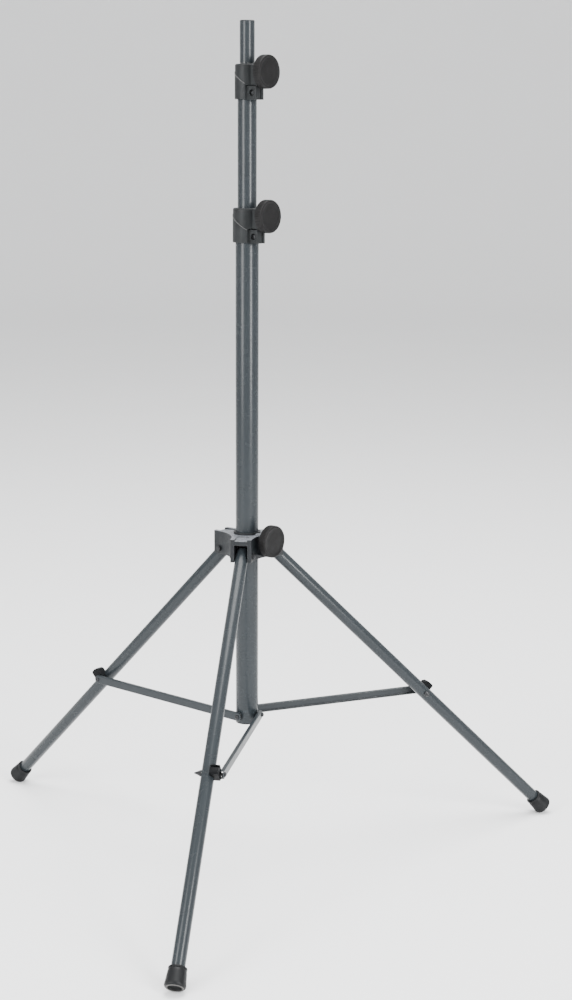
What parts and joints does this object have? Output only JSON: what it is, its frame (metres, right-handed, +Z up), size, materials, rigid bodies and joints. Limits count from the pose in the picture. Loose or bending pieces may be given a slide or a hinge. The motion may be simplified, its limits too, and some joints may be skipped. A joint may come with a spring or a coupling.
{
  "type": "telescopic tripod stand",
  "caption": "Folding tripod floor stand: telescopic round mast with friction collars and clamp knobs, sliding hub, tubular legs tied by channel struts, flared rubber feet.",
  "frame": {"origin": "on the mast's axis at floor level, with the feet's lowest edges at z = 0", "axes": "+Z up along the mast; the front leg points along -Y, the others 120 degrees to each side, and the clamp knobs point between the front and the right leg"},
  "size_m": [0.9444, 0.822, 1.292],
  "materials": {
    "tube_paint": "semi-gloss grey powder coat",
    "strut_paint": "semi-gloss grey powder coat",
    "hub_paint": "grey powder coat over die casting",
    "black_plastic": "fine-grained moulding",
    "knob_plastic": "fine-grained moulding",
    "clip_plastic": "fine-grained moulding",
    "foot_rubber": "moulded rubber",
    "screw_steel": "zinc-plated steel",
    "dark_steel": "blackened steel",
    "insert_brass": "machined",
    "shoe_plastic": "plain moulding"
  },
  "bodies": {
    "low_mast": {"low_tube": "tube_paint", "low_tube_plug": "black_plastic", "strut_screws": "dark_steel", "strut_spacers": "dark_steel", "lower_collar": "black_plastic", "lower_pinch_bolt": "dark_steel", "lower_pinch_nut": "screw_steel", "lower_clamp_insert": "insert_brass"},
    "mid_mast": {"mid_tube": "tube_paint", "mid_tube_bush": "black_plastic", "upper_collar": "black_plastic", "upper_pinch_bolt": "dark_steel", "upper_pinch_nut": "screw_steel", "upper_clamp_insert": "insert_brass"},
    "top_mast": {"top_tube": "tube_paint", "top_tube_bush": "black_plastic", "top_tube_plug": "black_plastic"},
    "hub": {"hub_casting": "hub_paint", "hub_liner": "black_plastic", "hub_pivot_bolts": "dark_steel", "hub_pivot_nuts": "dark_steel", "hub_clamp_insert": "insert_brass"},
    "lower_shoe": {"lower_clamp_shoe": "shoe_plastic"},
    "lower_clamp": {"lower_knob": "knob_plastic", "lower_clamp_stud": "screw_steel"},
    "upper_shoe": {"upper_clamp_shoe": "shoe_plastic"},
    "upper_clamp": {"upper_knob": "knob_plastic", "upper_clamp_stud": "screw_steel"},
    "hub_shoe": {"hub_clamp_shoe": "shoe_plastic"},
    "hub_clamp": {"hub_knob": "knob_plastic", "hub_clamp_stud": "screw_steel"},
    "front_leg": {"front_leg_tube": "tube_paint", "front_leg_plug": "black_plastic", "front_foot": "foot_rubber", "front_cable_clip": "clip_plastic", "front_strut_bolt": "screw_steel", "front_strut_bolt_cap": "dark_steel"},
    "front_strut_arm": {"front_strut": "strut_paint", "front_strut_head": "dark_steel"},
    "right_leg": {"right_leg_tube": "tube_paint", "right_leg_plug": "black_plastic", "right_foot": "foot_rubber", "right_cable_clip": "clip_plastic", "right_strut_bolt": "screw_steel", "right_strut_bolt_cap": "dark_steel"},
    "right_strut_arm": {"right_strut": "strut_paint", "right_strut_head": "dark_steel"},
    "left_leg": {"left_leg_tube": "tube_paint", "left_leg_plug": "black_plastic", "left_foot": "foot_rubber", "left_cable_clip": "clip_plastic", "left_strut_bolt": "screw_steel", "left_strut_bolt_cap": "dark_steel"},
    "left_strut_arm": {"left_strut": "strut_paint", "left_strut_head": "dark_steel"}
  },
  "joints": [
    {"name": "mid_slide", "type": "slide", "parent": "low_mast", "child": "mid_mast", "axis": [0, 0, 1], "range_m": [-0.155, 0.48]},
    {"name": "top_slide", "type": "slide", "parent": "mid_mast", "child": "top_mast", "axis": [0, 0, 1], "range_m": [-0.05, 0.5]},
    {"name": "hub_slide", "type": "slide", "parent": "low_mast", "child": "hub", "axis": [0, 0, 1], "range_m": [0, 0.40963]},
    {"name": "front_leg_fold", "type": "hinge", "parent": "hub", "child": "front_leg", "pos_m": [0, -0.043, 0.492], "axis": [1, 0, 0], "range_deg": [0, 45.46]},
    {"name": "front_strut_fold", "type": "hinge", "parent": "low_mast", "child": "front_strut_arm", "pos_m": [0, 0, 0.228], "axis": [-1, 0, 0], "range_deg": [0, 81.15]},
    {"name": "right_leg_fold", "type": "hinge", "parent": "hub", "child": "right_leg", "pos_m": [0.03724, 0.0215, 0.492], "axis": [-0.5, 0.866, 0], "range_deg": [0, 45.46]},
    {"name": "right_strut_fold", "type": "hinge", "parent": "low_mast", "child": "right_strut_arm", "pos_m": [0, 0, 0.228], "axis": [0.5, -0.866, 0], "range_deg": [0, 81.15]},
    {"name": "left_leg_fold", "type": "hinge", "parent": "hub", "child": "left_leg", "pos_m": [-0.03724, 0.0215, 0.492], "axis": [-0.5, -0.866, 0], "range_deg": [0, 45.46]},
    {"name": "left_strut_fold", "type": "hinge", "parent": "low_mast", "child": "left_strut_arm", "pos_m": [0, 0, 0.228], "axis": [0.5, 0.866, 0], "range_deg": [0, 81.15]},
    {"name": "lower_shoe_slide", "type": "slide", "parent": "low_mast", "child": "lower_shoe", "axis": [0.866, -0.5, 0], "range_m": [0, 0.00251]},
    {"name": "lower_knob_turn", "type": "hinge", "parent": "lower_shoe", "child": "lower_clamp", "pos_m": [0, 0, 1.0063], "axis": [0.866, -0.5, 0], "range_deg": [0, 720]},
    {"name": "upper_shoe_slide", "type": "slide", "parent": "mid_mast", "child": "upper_shoe", "axis": [0.866, -0.5, 0], "range_m": [0, 0.00251]},
    {"name": "upper_knob_turn", "type": "hinge", "parent": "upper_shoe", "child": "upper_clamp", "pos_m": [0, 0, 1.2171], "axis": [0.866, -0.5, 0], "range_deg": [0, 720]},
    {"name": "hub_shoe_slide", "type": "slide", "parent": "hub", "child": "hub_shoe", "axis": [0.866, -0.5, 0], "range_m": [0, 0.00251]},
    {"name": "hub_knob_turn", "type": "hinge", "parent": "hub_shoe", "child": "hub_clamp", "pos_m": [0, 0, 0.5129], "axis": [0.866, -0.5, 0], "range_deg": [0, 720]}
  ],
  "couplings": [
    {"joint": "front_leg_fold", "follows": "hub_slide", "rad_per_m": 1.9361},
    {"joint": "front_strut_fold", "follows": "hub_slide", "rad_per_m": 3.4563},
    {"joint": "right_leg_fold", "follows": "hub_slide", "rad_per_m": 1.9361},
    {"joint": "right_strut_fold", "follows": "hub_slide", "rad_per_m": 3.4563},
    {"joint": "left_leg_fold", "follows": "hub_slide", "rad_per_m": 1.9361},
    {"joint": "left_strut_fold", "follows": "hub_slide", "rad_per_m": 3.4563},
    {"joint": "lower_shoe_slide", "follows": "lower_knob_turn", "m_per_rad": 0.00019894},
    {"joint": "upper_shoe_slide", "follows": "upper_knob_turn", "m_per_rad": 0.00019894},
    {"joint": "hub_shoe_slide", "follows": "hub_knob_turn", "m_per_rad": 0.00019894}
  ]
}
